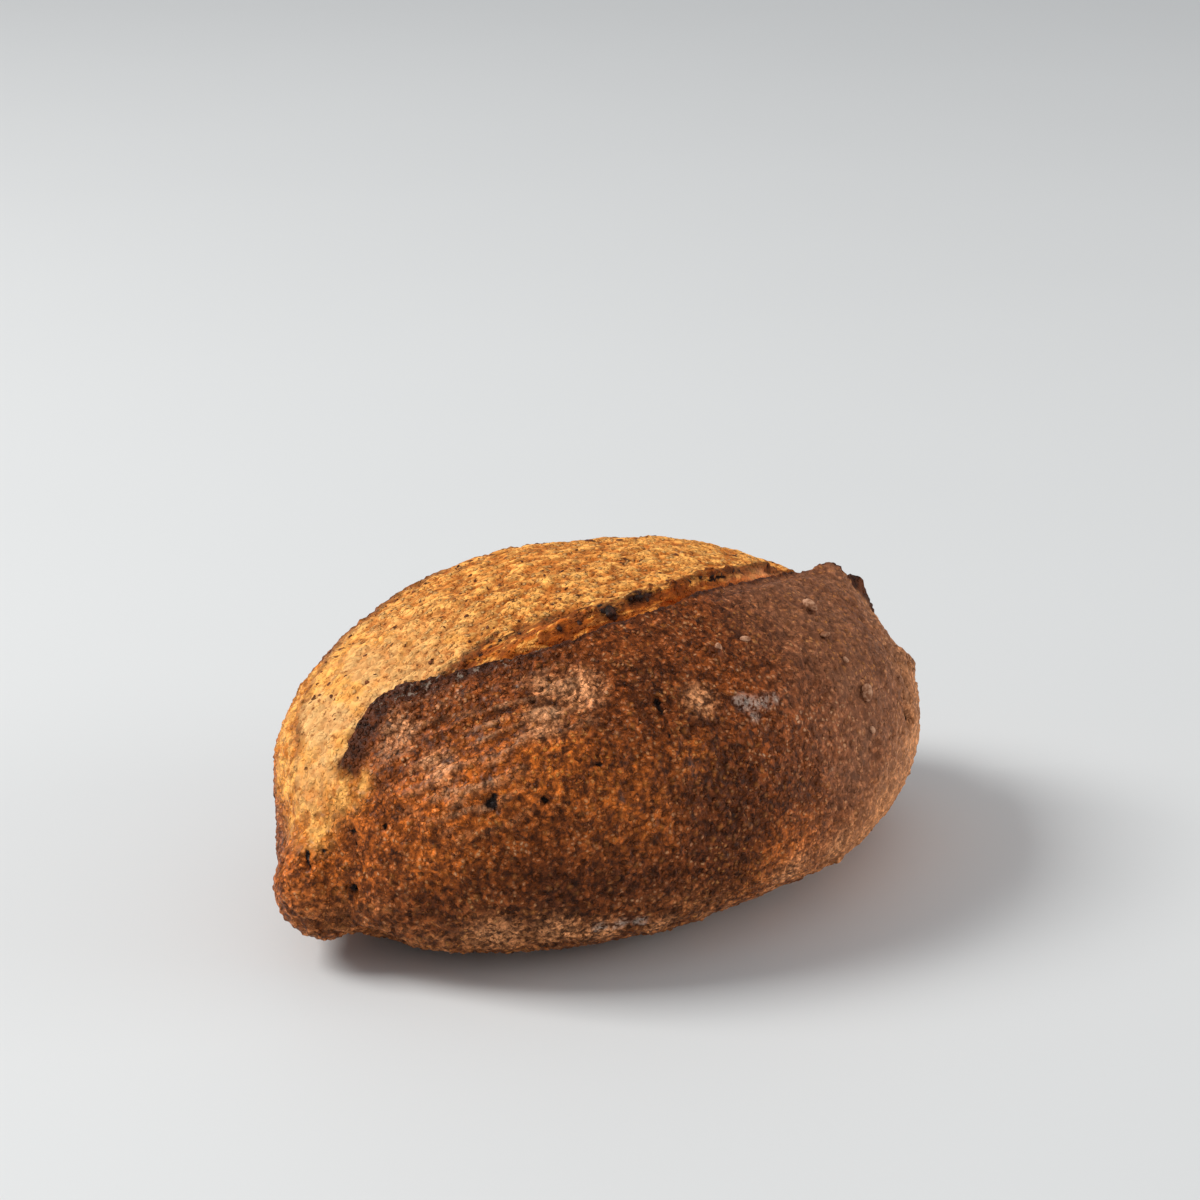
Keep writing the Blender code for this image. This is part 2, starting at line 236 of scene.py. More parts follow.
class Wire:
    # a socket that can be reckoned with
    def __init__(self, finish, socket):
        self.finish, self.socket = finish, socket

    def sum(self, operation, *others):
        return self.finish.node("ShaderNodeMath", {"operation": operation}, *others)

    def __add__(self, other):
        return self.sum("ADD", self, other)

    def __radd__(self, other):
        return self.sum("ADD", other, self)

    def __sub__(self, other):
        return self.sum("SUBTRACT", self, other)

    def __rsub__(self, other):
        return self.sum("SUBTRACT", other, self)

    def __mul__(self, other):
        return self.sum("MULTIPLY", self, other)

    def __rmul__(self, other):
        return self.sum("MULTIPLY", other, self)

    def least(self, other):
        return self.sum("MINIMUM", self, other)

    def most(self, other):
        return self.sum("MAXIMUM", self, other)

    def between(self, low, high):
        # 0 below low, 1 above high, eased
        curve = {"interpolation_type": "SMOOTHSTEP"}
        return self.finish.node("ShaderNodeMapRange", curve, self, low, high, 0.0, 1.0)


class Finish:
    # a material being written
    def __init__(self, name):
        self.material = bpy.data.materials.new(name)
        self.material.use_nodes = True
        self.tree = self.material.node_tree
        self.shader = self.tree.nodes["Principled BSDF"]

    def put(self, socket, value):
        if isinstance(value, Wire):
            self.tree.links.new(value.socket, socket)
        elif hasattr(value, "__len__") and len(value) == 3 and len(socket.default_value) == 4:
            socket.default_value = (*value, 1)
        else:
            socket.default_value = value

    def node(self, kind, settings=None, *values, out=0, **named):
        made = self.tree.nodes.new(kind)
        for key, value in (settings or {}).items():
            setattr(made, key, value)
        for socket, value in zip(made.inputs, values):
            if value is not None:
                self.put(socket, value)
        for key, value in named.items():
            self.put(made.inputs[key.replace("_", " ")], value)
        return Wire(self, made.outputs[out])

    def place(self):
        return self.node("ShaderNodeTexCoord", out=3)

    def stretched(self, scale):
        return self.node("ShaderNodeMapping", {}, self.place(), Scale=scale)

    def axis(self, number):
        return self.node("ShaderNodeSeparateXYZ", {}, self.place(), out=number)

    def mark(self, name):
        return self.node("ShaderNodeAttribute", {"attribute_name": name}, out=2)

    def cloudy(self, scale, detail=3.0, rough=0.55, at=None):
        return self.node("ShaderNodeTexNoise", {}, Vector=at or self.place(), Scale=scale, Detail=detail,
                         Roughness=rough)

    def cells(self, scale, at=None, out=0, **named):
        return self.node("ShaderNodeTexVoronoi", {}, out=out, Vector=at or self.place(), Scale=scale, **named)

    def mix(self, low, high, share):
        made = self.tree.nodes.new("ShaderNodeMix")
        made.data_type = "RGBA"
        for number, value in ((0, share), (6, low), (7, high)):
            self.put(made.inputs[number], value)
        return Wire(self, made.outputs[2])

    def tint(self, colour, amount):
        # a colour made darker or lighter by a number that varies
        return self.node("ShaderNodeVectorMath", {"operation": "SCALE"}, colour, None, None, amount)

    def feed(self, **sockets):
        for key, value in sockets.items():
            self.put(self.shader.inputs[key.replace("_", " ")], value)
        return self.material


# floor: plain and pale
floorSetup = {"size": 12.0, "colour": (0.72, 0.735, 0.74), "roughness": 0.55}


def addFloor(setup):
    bpy.ops.object.select_all(action="DESELECT")
    bpy.ops.mesh.primitive_plane_add(size=setup["size"], location=(0, 0, 0))
    floor = bpy.context.object
    floor.name = "floor"
    finish = Finish("palePlaster")
    soft = finish.cloudy(3.0, 2.0)
    finish.feed(Base_Color=finish.mix(setup["colour"], tuple(c * 0.97 for c in setup["colour"]), soft),
                Roughness=setup["roughness"])
    floor.data.materials.append(finish.material)


addFloor(floorSetup)

# where whole kernels sit in the dark crust, as (x, y, z, length)
seedPlaces = [(0.0549, -0.0481, 0.0967, 0.0058), (0.0590, -0.0733, 0.0727, 0.0062),
              (0.0012, -0.0610, 0.0979, 0.0050), (0.0156, -0.0593, 0.0980, 0.0038),
              (0.0516, -0.0599, 0.0908, 0.0036), (0.0550, -0.0669, 0.0834, 0.0030),
              (0.0565, -0.0787, 0.0613, 0.0036), (0.0870, -0.0600, 0.0660, 0.0032),
              (0.0300, -0.0800, 0.0560, 0.0030), (-0.0300, 0.0780, 0.0600, 0.0054),
              (0.0400, 0.0780, 0.0480, 0.0042), (0.0660, 0.0660, 0.0640, 0.0036),
              (-0.0750, 0.0640, 0.0520, 0.0034)]

# and charred crumbs along the torn strip
crumbPlaces = [(-0.0043, -0.0294, 0.1094, 0.0046), (-0.0172, -0.0303, 0.1074, 0.0058),
               (-0.0079, -0.0296, 0.1092, 0.0028), (-0.0009, -0.0295, 0.1097, 0.0034),
               (0.0252, -0.0262, 0.1083, 0.0018), (0.0315, -0.0252, 0.1073, 0.0022),
               (0.0374, -0.0237, 0.1059, 0.0014), (0.0693, -0.0136, 0.0991, 0.0016),
               (0.0192, -0.0278, 0.1091, 0.0016), (-0.0195, -0.0290, 0.1078, 0.0026),
               (-0.0025, -0.0308, 0.1086, 0.0020), (-0.0293, -0.0285, 0.1063, 0.0024),
               (-0.0364, -0.0269, 0.1055, 0.0030), (-0.0180, -0.0252, 0.1083, 0.0022),
               (-0.0515, -0.0145, 0.1014, 0.0016), (-0.0454, -0.0173, 0.1028, 0.0020),
               (-0.0612, -0.0162, 0.0991, 0.0018), (0.0440, -0.0215, 0.1050, 0.0016),
               (0.0500, -0.0195, 0.1040, 0.0013)]

# the crust: the solid's own form, rounded, then roughened the way each part of a baked crust is
crustSetup = {
    "grid": 0.00082,            # spacing of the fine mesh
    "quickGrid": 0.0013,
    "triangles": 196000,
    "relief": [                 # name, kind, size of the lumps, height, where, length of the lumps, settings
        ("lumps", "CLOUDS", 0.0080, 0.0020, "crustSide", 1.0, {"noise_depth": 2}),
        ("blisters", "VORONOI", 0.0026, -0.0015, "blistered", 1.0, {}),
        ("pimples", "CLOUDS", 0.0018, 0.0009, "crustSide", 1.0, {"noise_depth": 0}),
        ("crumbFolds", "CLOUDS", 0.0060, 0.0013, "bloom", 1.6, {"noise_depth": 2}),
        ("crumbCracks", "MUSGRAVE", 0.0055, -0.0009, "bloom", 1.8,
         {"musgrave_type": "RIDGED_MULTIFRACTAL", "octaves": 3.0}),
        ("crumbGrain", "VORONOI", 0.0021, 0.0007, "bloom", 1.2, {}),
        ("tearLumps", "CLOUDS", 0.0040, 0.0018, "strip", 4.5, {"noise_depth": 2}),
        ("tearPits", "VORONOI", 0.0026, 0.0004, "strip", 2.4, {}),
        ("raggedEdge", "CLOUDS", 0.0026, 0.0026, "tornEdge", 3.2, {"noise_depth": 2}),
        ("raggedLip", "CLOUDS", 0.0050, 0.0016, "lip", 1.0, {"noise_depth": 2}),
    ],
    # pits of the dark crust, as (x, y, z, reach)
    "pits": [(-0.0868, -0.0536, 0.0668, 0.0036), (-0.0860, -0.0545, 0.0690, 0.0022),
             (-0.1140, -0.0168, 0.0520, 0.0026), (-0.1145, -0.0172, 0.0480, 0.0016),
             (-0.1155, -0.0179, 0.0321, 0.0027), (-0.1090, -0.0273, 0.0563, 0.0017),
             (-0.0727, -0.0635, 0.0672, 0.0020), (-0.0300, -0.0735, 0.0800, 0.0017),
             (-0.0545, -0.0682, 0.0764, 0.0017), (-0.1185, -0.0073, 0.0430, 0.0018),
             (0.0720, -0.0560, 0.0830, 0.0018), (-0.0600, 0.0690, 0.0640, 0.0024),
             (0.0300, 0.0790, 0.0520, 0.0022)],
    "pitDepth": 0.0014,
    "seedShadows": seedPlaces,
    "hollowAside": 0.0010,      # the painted shadow of a kernel lies this far to its -X side
    "reliefSpan": 0.0030,       # from the deepest relief to the highest, as the colours read it to paint shade into the low ground
    "folds": [                  # line, reach, depth, how dark its crease is painted as shade
        ([(-0.1148, -0.0141, 0.0520), (-0.1151, -0.0169, 0.0461), (-0.1152, -0.0184, 0.0396),
          (-0.1156, -0.0175, 0.0324), (-0.1159, -0.0166, 0.0268), (-0.1166, -0.0150, 0.0193)],
         0.0042, 0.0012, 0.0),
        ([(-0.1283, -0.0011, 0.0214), (-0.1260, -0.0061, 0.0200), (-0.1223, -0.0092, 0.0186),
          (-0.1182, -0.0118, 0.0197)], 0.0036, 0.0012, 0.30),
        ([(0.0872, -0.0640, 0.0598), (0.0868, -0.0652, 0.0573), (0.0886, -0.0645, 0.0536),
          (0.0925, -0.0622, 0.0496)], 0.0046, 0.0026, 1.0),
        ([(0.0952, -0.0516, 0.0695), (0.0942, -0.0547, 0.0669), (0.0938, -0.0572, 0.0632),
          (0.0955, -0.0577, 0.0592)], 0.0044, 0.0014, 0.60),
        ([(-0.1160, 0.0050, 0.0600), (-0.1150, -0.0040, 0.0560), (-0.1120, -0.0150, 0.0600)],
         0.0040, 0.0007, 0.0),
        ([(-0.1225, -0.0030, 0.0426), (-0.1235, -0.0049, 0.0408), (-0.1242, -0.0063, 0.0387)],
         0.0021, 0.0018, 1.0),
        ([(-0.0281, -0.0656, 0.0901), (-0.0283, -0.0688, 0.0870)], 0.0021, 0.0013, 1.0),
        ([(0.0298, -0.0261, 0.1065), (0.0345, -0.0250, 0.1059), (0.0392, -0.0238, 0.1048)],
         0.0022, 0.0010, 1.0),
        ([(-0.0444, -0.0771, 0.0217), (-0.0264, -0.0839, 0.0261), (-0.0098, -0.0858, 0.0278),
          (0.0080, -0.0868, 0.0292)], 0.0026, 0.0007, 0.0),
        ([(-0.0954, -0.0184, 0.0810), (-0.0855, -0.0266, 0.0854), (-0.0734, -0.0318, 0.0914)],
         0.0030, 0.0007, 0.20),
        ([(-0.0982, -0.0221, 0.0770), (-0.0863, -0.0326, 0.0820), (-0.0714, -0.0395, 0.0891)],
         0.0032, 0.0008, 0.25),
        ([(-0.0970, -0.0309, 0.0741), (-0.0847, -0.0409, 0.0795), (-0.0700, -0.0479, 0.0853)],
         0.0030, 0.0007, 0.20),
        ([(0.0200, 0.0790, 0.0620), (0.0420, 0.0770, 0.0580), (0.0600, 0.0710, 0.0560)],
         0.0036, 0.0008, 0.15),
    ],
    "swellings": [              # place, reach, height
        ((0.1035, -0.0480, 0.0640), 0.0065, 0.0024), ((0.0960, -0.0590, 0.0540), 0.0060, 0.0016),
        ((-0.0378, -0.0759, 0.0736), 0.0030, 0.0007), ((-0.0004, -0.0600, 0.0989), 0.0034, 0.0005),
        ((-0.1000, -0.0120, 0.0820), 0.0050, 0.0008), ((-0.0900, -0.0120, 0.0900), 0.0060, 0.0010),
    ],
    # where the skin is finely wrinkled, as (x, y, z, reach)
    "wrinkled": [(-0.0900, -0.0300, 0.0790, 0.028), (-0.0740, -0.0420, 0.0860, 0.026),
                 (-0.0880, -0.0470, 0.0700, 0.022), (-0.0560, -0.0500, 0.0920, 0.018),
                 (-0.0700, 0.0600, 0.0700, 0.020)],
    "wrinkleHeight": 0.0006,
    # how much lower than the solid's the ear stands where it is torn, by x
    "worn": [(0.010, 0.0), (0.025, 0.0014), (0.045, 0.0032), (0.065, 0.0034), (0.080, 0.0026),
             (0.092, 0.0012), (0.099, 0.0)],
    # how far the burnt band reaches from the ear's crest, outside it and inside it, by x
    "burntBand": [(-0.114, 0.0044), (-0.108, 0.0108), (-0.096, 0.0118), (-0.084, 0.0086), (-0.070, 0.0060),
                  (-0.056, 0.0034), (-0.030, 0.0016), (0.096, 0.0012), (0.102, 0.0056), (0.107, 0.0135),
                  (0.113, 0.0165), (0.120, 0.0150), (0.126, 0.0070)],
    "burntInside": [(-0.114, 0.0020), (-0.108, 0.0042), (-0.100, 0.0034), (-0.092, 0.0016),
                    (-0.070, 0.0012), (0.126, 0.0012)],
    # places that are browner or paler than the rest, as (x, y, z, reach)
    "golden": [(-0.1130, 0.0040, 0.0620, 0.022), (-0.1115, -0.0080, 0.0640, 0.015),
               (-0.1085, -0.0130, 0.0660, 0.009), (-0.1175, -0.0010, 0.0500, 0.014),
               (-0.1150, 0.0140, 0.0540, 0.022), (-0.1080, 0.0260, 0.0580, 0.020),
               (-0.1010, 0.0350, 0.0640, 0.018), (-0.0910, 0.0430, 0.0700, 0.016),
               (-0.0820, 0.0490, 0.0760, 0.012)],
    "orange": [(-0.1050, 0.0350, 0.0560, 0.026), (-0.0900, 0.0460, 0.0640, 0.020),
               # the spot at (-0.114, -0.016, 0.042) lightens the fold beside the nose: painted light against
               # its shade
               (-0.1230, 0.0000, 0.0350, 0.030), (-0.1140, -0.0160, 0.0420, 0.018),
               (-0.1000, -0.0400, 0.0600, 0.034), (-0.0840, -0.0480, 0.0740, 0.034),
               (-0.0680, -0.0600, 0.0740, 0.028), (-0.1150, -0.0050, 0.0400, 0.034),
               (-0.0500, -0.0750, 0.0600, 0.030), (0.0900, -0.0620, 0.0300, 0.026),
               (-0.0250, -0.0770, 0.0720, 0.014), (-0.1120, -0.0160, 0.0560, 0.020),
               (0.0150, -0.0860, 0.0280, 0.034), (0.0520, -0.0820, 0.0280, 0.034),
               (0.0300, 0.0800, 0.0550, 0.036), (-0.0450, 0.0760, 0.0480, 0.034)],
    "pale": [(-0.0481, -0.0512, 0.0943, 0.012), (-0.0625, -0.0512, 0.0878, 0.010),
             (-0.0951, -0.0181, 0.0825, 0.009), (-0.0926, -0.0356, 0.0755, 0.009),
             (-0.0143, -0.0708, 0.0881, 0.009), (-0.0560, -0.0440, 0.0950, 0.007),
             (-0.0567, -0.0713, 0.0170, 0.012), (-0.0358, -0.0767, 0.0150, 0.010),
             (-0.0860, -0.0560, 0.0180, 0.016), (-0.0700, -0.0660, 0.0190, 0.014),
             (0.0560, 0.0720, 0.0680, 0.012), (-0.0640, 0.0680, 0.0640, 0.011),
             (0.0150, -0.0820, 0.0240, 0.012), (0.0380, -0.0810, 0.0260, 0.011)],
    "dusty": [(0.1100, -0.0400, 0.0400, 0.055), (0.1000, -0.0550, 0.0300, 0.050),
              (0.1180, -0.0200, 0.0600, 0.045), (0.0700, -0.0700, 0.0180, 0.040)],
    # places where the crust is darker
    "darkerPatches": [(0.0000, 0.0800, 0.0450, 0.030), (0.0700, 0.0640, 0.0560, 0.028),
                 (-0.0500, -0.0760, 0.0420, 0.036), (-0.0150, -0.0820, 0.0460, 0.036),
                 (-0.0700, -0.0680, 0.0340, 0.024), (-0.0250, -0.0780, 0.0640, 0.024),
                 (0.0130, -0.0840, 0.0540, 0.018), (-0.0280, -0.0600, 0.0960, 0.012)],
    "flour": [(0.0007, -0.0759, 0.0851, 0.0046), (0.0035, -0.0768, 0.0845, 0.0040),
              (0.0085, -0.0772, 0.0838, 0.0036), (0.0130, -0.0772, 0.0836, 0.0028),
              (-0.0015, -0.0750, 0.0862, 0.0030), (0.0020, -0.0785, 0.0800, 0.0030),
              (-0.0570, -0.0717, 0.0208, 0.0036), (-0.0506, -0.0740, 0.0207, 0.0040),
              (-0.0442, -0.0765, 0.0207, 0.0036)],
}


def zonesOf(co, setup):
    # how much each spot belongs to the bloom, the torn strip, the lip of the ear and so on
    x, y, z = co.T
    crestY = lineAt(earCrest, x)[0]
    grooveY, grooveZ = lineAt(grooveLine, x)
    farY, farZ = lineAt(farEdge, x)
    wave = 0.0012 * cloud(co, 0.006) + 0.0022 * cloud(co, 0.018, 5)

    # the bloom lies above the chord from the groove to the far edge, whose border wanders a little
    chord = grooveZ + (farZ - grooveZ) * np.clip((y - grooveY) / np.maximum(farY - grooveY, 1e-4), 0, 1)
    above = eased(-0.0030, -0.0010, z - chord)
    behind = eased(0.0004, 0.0016, y - crestY) * above
    beyond = (0.0030 + 0.0035 * cloud(co, 0.030, 31)) * eased(-0.110, -0.090, x)
    opened = behind * (1 - eased(-0.0016, 0.0030, y - farY - beyond + 1.5 * wave))
    opened *= stretch(x, -0.121 + wave, -0.106 + wave, 0.118, 0.126)

    # the torn strip runs from the groove to the torn edge, whose crags are the ridge
    width = np.maximum(lineAt(tornEdge, x)[0] - grooveY, 0.003)
    strip = opened * (1 - eased(0.75, 1.20, (y - grooveY + 0.7 * wave) / width))
    strip *= stretch(x, -0.090, -0.078, 0.086, 0.110)
    ridge = (1 - eased(0.0016, 0.0050, nearLine(tornEdge, co) + 0.7 * wave)) * eased(-0.086, -0.074, x)
    ridge *= 1 - eased(0.085, 0.100, x)

    # the ear's lip, and the burnt band along it, wider on its outer side
    crest = nearLine(earCrest, co)
    ends = stretch(x, -0.1115, -0.1075, 0.1230, 0.1270)
    lip = (1 - eased(0.0012, 0.0040, crest + wave * 0.5)) * ends
    outside = np.interp(x, *zip(*setup["burntBand"]))
    inside = np.interp(x, *zip(*setup["burntInside"]))
    burn = (1 - eased(0.45, 1.0, (crest + 0.5 * wave) / outside)) * ends
    burn *= 1 - opened * eased(0.0, 0.0010, crest - inside)

    # the far edge of the slash, and the golden band under it
    edge = np.abs(y - farY - beyond) + 1.5 * np.abs(wave) + 0.3 * np.abs(z - farZ)
    rim = (1 - eased(0.0020, 0.0130, nearLine(farEdge, co) + 2.5 * wave)) * (1 - opened)
    rim *= stretch(x, -0.104, -0.090, 0.085, 0.105)

    # wrinkles, drawn out along the slant of the dark side towards the ear
    slant = np.array([0.80, -0.47, 0.37])
    drawn = co - 0.86 * (co @ slant)[:, None] * slant
    wrinkle = eased(-0.05, 0.35, cloud(drawn, 0.0024, 41)) * nearSpots(co, setup["wrinkled"], 0.3)
    wrinkle = wrinkle * (1 - opened) * (1 - burn)

    # the crust is calmer towards the far end, and in patches on the back
    back = eased(-0.020, 0.035, y)
    patches = eased(-0.25, 0.40, cloud(co, 0.045, 23))
    calm = eased(0.000, 0.055, x + 3 * wave) * (1 - back) + 0.55 * back * patches
    # the crust is darker around each crumb
    crumbSurrounds = [(*place, 0.85 * size) for *place, size in crumbPlaces]
    return {
        "opened": opened, "strip": strip, "lip": lip, "burn": burn, "ridge": ridge,
        "far": 1 - eased(0.0005, 0.0045, edge), "rim": rim, "calm": calm, "wrinkle": wrinkle,
        "under": 1 - eased(0.0010, 0.0120, z + 2 * wave), "low": 1 - eased(0.008, 0.040, z + 3 * wave),
        "nearCrumbs": nearSpots(co, crumbSurrounds, 0.3), "golden": nearSpots(co, setup["golden"], 0.1),
        "orange": nearSpots(co, setup["orange"]), "pale": nearSpots(co, setup["pale"]),
        "dusty": nearSpots(co, setup["dusty"]), "darkerPatches": nearSpots(co, setup["darkerPatches"]),
        "flour": nearSpots(co, setup["flour"], 0.2),
    }


def addRelief(piece, zone, setup):
    co = spots(piece)
    foot = 1 - eased(0.0002, 0.0030, co[:, 2])
    patches = eased(-0.35, 0.35, cloud(co, 0.020, 11))
    groups = {
        "crustSide": (1 - zone["opened"]) * (1 - foot),
        "blistered": (1 - zone["opened"]) * (0.35 + 0.65 * patches) * (1 - foot),
        "bloom": zone["opened"] * (1 - zone["strip"]),
        "strip": zone["strip"],
        "lip": zone["lip"],
        "tornEdge": zone["ridge"],
    }
    for name, weight in groups.items():
        setGroup(piece, name, weight)
    guide = bpy.data.objects.new("guide", None)
    bpy.context.scene.collection.objects.link(guide)
    for name, kind, size, height, where, length, settings in setup["relief"]:
        pattern = bpy.data.textures.new(name, kind)
        pattern.noise_scale = size
        for key, value in settings.items():
            setattr(pattern, key, value)
        guide.scale = (length, 1, 1)
        bpy.context.view_layer.update()
        finishModifier(piece, "DISPLACE", texture=pattern, texture_coords="OBJECT",
                       texture_coords_object=guide, strength=height, mid_level=0.5, vertex_group=where,
                       direction="NORMAL")
    bpy.data.objects.remove(guide)


def laidOn(skin, places):
    # the skin's own spot nearest to each of the places
    return np.array([skin[((skin - place) ** 2).sum(1).argmin()] for place in np.array(places)])


def addCreases(piece, smooth, zone, setup):
    # pits, folds and swellings, placed by where the skin was before it was roughened; the returned mark is
    # the pits, burnt and with painted shade in their hollows, and painted shade along the folds
    co, out = spots(piece), outwards(piece)
    centres = laidOn(smooth, [place[:3] for place in setup["pits"]])
    pitPlaces = [(*centre, place[3]) for centre, place in zip(centres, setup["pits"])]
    ragged = smooth + 0.0009 * np.stack([cloud(co, 0.0018, shift) for shift in (2.0, 9.0, 17.0)], 1)
    halfRagged = 0.5 * smooth + 0.5 * ragged
    pits = nearSpots(ragged, pitPlaces, 0.2)
    shift, dark = -setup["pitDepth"] * pits, pits
    for line, reach, depth, creaseShade in setup["folds"]:
        dense = laidOn(smooth, np.concatenate([np.linspace(a, b, 8) for a, b in zip(line, line[1:])]))
        middle, wide = dense.mean(0), np.ptp(dense, 0).max() + reach
        close = np.nonzero(np.abs(smooth - middle).max(1) < wide)[0]
        apart = np.sqrt(((halfRagged[close][:, None, :] - dense[None]) ** 2).sum(2).min(1))
        share = 1 - eased(0.0, reach, apart)
        shift[close] -= depth * share
        dark[close] = np.maximum(dark[close], creaseShade * (1 - eased(0.0002, 0.5 * reach, apart)))
    for place, reach, height in setup["swellings"]:
        shift += height * np.exp(-((smooth - np.array(place)) ** 2).sum(1) / reach**2)
    shift += setup["wrinkleHeight"] * zone["wrinkle"]
    co += out * shift[:, None]
    lip = 1 - eased(0.0020, 0.0090, nearLine(earCrest, smooth))
    co[:, 2] -= np.interp(smooth[:, 0], *zip(*setup["worn"])) * lip
    moveSpots(piece, co)
    return dark


def addCrust(setup):
    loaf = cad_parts["loaf"]
    crust = bpy.data.objects.new("crust", loaf.data.copy())
    bpy.context.scene.collection.objects.link(crust)
    crust.data.materials.clear()
    onlySelect(crust)
    bpy.ops.object.mode_set(mode="EDIT")
    bpy.ops.mesh.select_all(action="SELECT")
    bpy.ops.mesh.remove_doubles(threshold=0.00001)
    bpy.ops.mesh.tris_convert_to_quads(face_threshold=math.radians(50), shape_threshold=math.radians(70))
    bpy.ops.object.mode_set(mode="OBJECT")
    finishModifier(crust, "SUBSURF", levels=1, render_levels=1)
    finishModifier(crust, "REMESH", mode="VOXEL", voxel_size=setup["grid"])
    print("crust remeshed:", len(crust.data.polygons), "faces")
    smoothPlaces, smoothOut = spots(crust), outwards(crust)
    zone = zonesOf(smoothPlaces, setup)
    addRelief(crust, zone, setup)
    zone["pits"] = addCreases(crust, smoothPlaces, zone, setup)
    co = spots(crust)
    # each kernel's painted shadow on the crust, shifted to its -X side
    hollows = [(*place, 0.70 * size) for *place, size in setup["seedShadows"]]
    zone["hollow"] = nearSpots(co + (setup["hollowAside"], 0, 0), hollows, 0.4)
    # 0 in the deepest relief, 1 at the highest; the finish paints shade where it is low
    zone["height"] = 0.5 + ((co - smoothPlaces) * smoothOut).sum(1) / setup["reliefSpan"]
    crust.vertex_groups.clear()
    for name, value in zone.items():
        setMark(crust, name, value)
    count = sum(len(p.vertices) - 2 for p in crust.data.polygons)
    finishModifier(crust, "DECIMATE", ratio=min(1.0, setup["triangles"] / count))
    moveSpots(crust, np.clip(spots(crust), np.array(cadBox[0]), np.array(cadBox[1])))
    onlySelect(crust)
    bpy.ops.object.shade_smooth()
    print("crust finished:", len(crust.data.polygons), "faces")
    return crust


# colours of the crust as baked; the ash colour is partly a painted highlight
crustColours = {
    "straw": (0.84, 0.475, 0.178), "gold": (0.95, 0.450, 0.108), "amber": (0.56, 0.180, 0.024),
    "ember": (0.40, 0.094, 0.010), "tan": (0.58, 0.230, 0.086), "biscuit": (0.66, 0.345, 0.175),
    "dust": (0.64, 0.275, 0.115), "clay": (0.270, 0.106, 0.050), "russet": (0.220, 0.051, 0.0085),
    "brown": (0.135, 0.032, 0.0065), "umber": (0.060, 0.0155, 0.0048), "char": (0.0150, 0.0070, 0.0050),
    "ashAndHighlight": (0.30, 0.235, 0.18), "glow": (0.62, 0.235, 0.034), "flour": (0.60, 0.50, 0.42),
}


